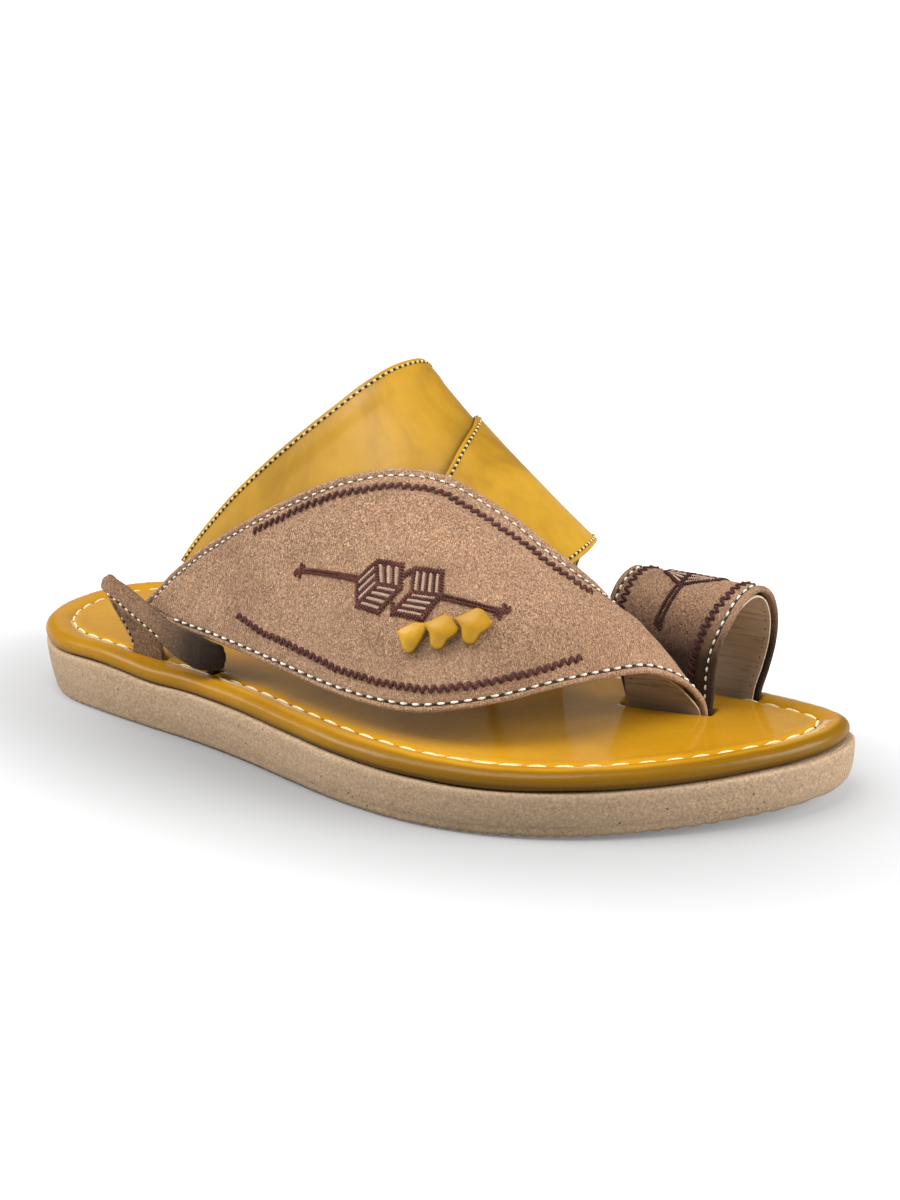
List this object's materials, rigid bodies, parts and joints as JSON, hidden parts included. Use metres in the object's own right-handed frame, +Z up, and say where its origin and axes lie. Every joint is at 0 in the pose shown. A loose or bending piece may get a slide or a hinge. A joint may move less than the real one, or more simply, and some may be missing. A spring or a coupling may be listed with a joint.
{
  "type": "arabic sandal",
  "caption": "Right-foot leather sandal with a suede strap wing, yellow instep bands, a toe loop, a heel keeper strap and a beige foam sole.",
  "frame": {"origin": "on the floor, under the middle of the sole's length and width", "axes": "+X from heel to toe, +Y to the medial (big-toe) side, +Z up"},
  "size_m": [0.29, 0.1166, 0.1234],
  "materials": {
    "foam": "matte",
    "yellow_leather": "glossy",
    "suede": "matte"
  },
  "bodies": {
    "root": {"outsole": "foam", "footbed": "yellow_leather", "upper": "suede", "toe_loop": "suede", "keeper": "suede", "thong_1": "yellow_leather", "thong_2": "yellow_leather", "thong_3": "yellow_leather"}
  },
  "joints": []
}
